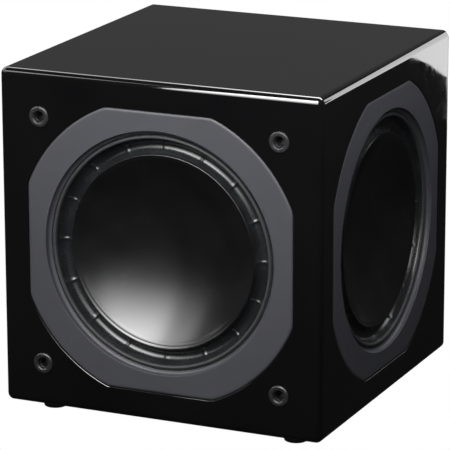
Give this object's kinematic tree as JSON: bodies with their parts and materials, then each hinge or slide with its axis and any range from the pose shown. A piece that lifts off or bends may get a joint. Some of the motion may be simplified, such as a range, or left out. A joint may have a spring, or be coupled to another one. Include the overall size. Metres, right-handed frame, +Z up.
{
  "type": "subwoofer",
  "caption": "Active subwoofer: gloss-black cube cabinet with a dished woofer in front, opposed side radiators and an amplifier plate behind.",
  "frame": {"origin": "centre of the overall box at the level the feet stand on", "axes": "+Z up, -Y out of the front with the woofer, +Y out of the back with the amplifier, +X to the right of somebody who faces the front"},
  "size_m": [0.27, 0.29, 0.278],
  "materials": {
    "lacquer": "gloss",
    "board_wood": "matte",
    "soft_rubber": "matte",
    "trim": "satin",
    "frame": "matte",
    "surround": "satin",
    "diaphragm": "satin",
    "former": "satin",
    "copper": "satin",
    "spider_cloth": "matte",
    "steel": "satin",
    "ferrite": "matte",
    "black_plastic": "satin",
    "plate_metal": "matte",
    "circuit_board": "satin",
    "aluminium": "satin",
    "jack_brass": "polished",
    "lamp": "gloss",
    "screw_steel": "satin",
    "cable_jacket": "satin"
  },
  "bodies": {
    "cabinet": {"front_baffle": "lacquer", "rear_panel": "lacquer", "top_panel": "lacquer", "bottom_panel": "lacquer", "left_panel": "lacquer", "right_panel": "lacquer", "brace": "board_wood", "grille_socket_top_left": "soft_rubber", "grille_socket_top_right": "soft_rubber", "grille_socket_bottom_left": "soft_rubber", "grille_socket_bottom_right": "soft_rubber", "foot_front_left": "soft_rubber", "foot_front_right": "soft_rubber", "foot_rear_left": "soft_rubber", "foot_rear_right": "soft_rubber", "woofer_trim_ring": "trim", "woofer_basket": "frame", "woofer_surround": "surround", "woofer_spider": "spider_cloth", "woofer_top_plate": "steel", "woofer_magnet": "ferrite", "woofer_yoke": "steel", "woofer_terminal": "black_plastic", "woofer_lead_a": "copper", "woofer_lead_b": "copper", "right_trim_ring": "trim", "right_radiator_frame": "frame", "right_radiator_surround": "surround", "left_trim_ring": "trim", "left_radiator_frame": "frame", "left_radiator_surround": "surround", "amp_plate": "plate_metal", "amp_board": "circuit_board", "amp_heatsink": "aluminium", "amp_transformer": "steel", "line_jack_left": "jack_brass", "line_jack_right": "jack_brass", "mains_inlet": "black_plastic", "status_light": "lamp", "speaker_cable": "cable_jacket", "amp_screw_1": "screw_steel", "amp_screw_2": "screw_steel", "amp_screw_3": "screw_steel", "amp_screw_4": "screw_steel", "amp_screw_5": "screw_steel", "amp_screw_6": "screw_steel", "amp_screw_7": "screw_steel", "amp_screw_8": "screw_steel"},
    "woofer_cone": {"woofer_diaphragm": "diaphragm", "woofer_former": "former", "woofer_coil": "copper"},
    "right_cone": {"right_radiator_diaphragm": "diaphragm", "right_radiator_mass": "steel"},
    "left_cone": {"left_radiator_diaphragm": "diaphragm", "left_radiator_mass": "steel"},
    "volume": {"volume_knob": "black_plastic"},
    "crossover": {"crossover_knob": "black_plastic"},
    "phase": {"phase_switch": "black_plastic"},
    "auto_on": {"auto_switch": "black_plastic"},
    "power": {"power_rocker": "black_plastic"}
  },
  "joints": [
    {"name": "woofer_travel", "type": "slide", "parent": "cabinet", "child": "woofer_cone", "axis": [0, -1, 0], "range_m": [-0.01, 0.01], "deforming": ["woofer_surround", "woofer_spider", "woofer_lead_a", "woofer_lead_b"]},
    {"name": "right_radiator_travel", "type": "slide", "parent": "cabinet", "child": "right_cone", "axis": [1, 0, 0], "range_m": [-0.012, 0.012], "deforming": ["right_radiator_surround"]},
    {"name": "left_radiator_travel", "type": "slide", "parent": "cabinet", "child": "left_cone", "axis": [-1, 0, 0], "range_m": [-0.012, 0.012], "deforming": ["left_radiator_surround"]},
    {"name": "volume_turn", "type": "hinge", "parent": "cabinet", "child": "volume", "pos_m": [0.038, 0.1374, 0.201], "axis": [0, -1, 0], "range_deg": [0, 300]},
    {"name": "crossover_turn", "type": "hinge", "parent": "cabinet", "child": "crossover", "pos_m": [-0.038, 0.1374, 0.201], "axis": [0, -1, 0], "range_deg": [-150, 150]},
    {"name": "phase_slide", "type": "slide", "parent": "cabinet", "child": "phase", "axis": [0, 0, 1], "range_m": [0, 0.005]},
    {"name": "auto_slide", "type": "slide", "parent": "cabinet", "child": "auto_on", "axis": [0, 0, 1], "range_m": [0, 0.005]},
    {"name": "power_rock", "type": "hinge", "parent": "cabinet", "child": "power", "pos_m": [-0.02, 0.1292, 0.071], "axis": [1, 0, 0], "range_deg": [-18, 0]}
  ],
  "couplings": [
    {"joint": "left_radiator_travel", "follows": "right_radiator_travel", "ratio": 1}
  ]
}
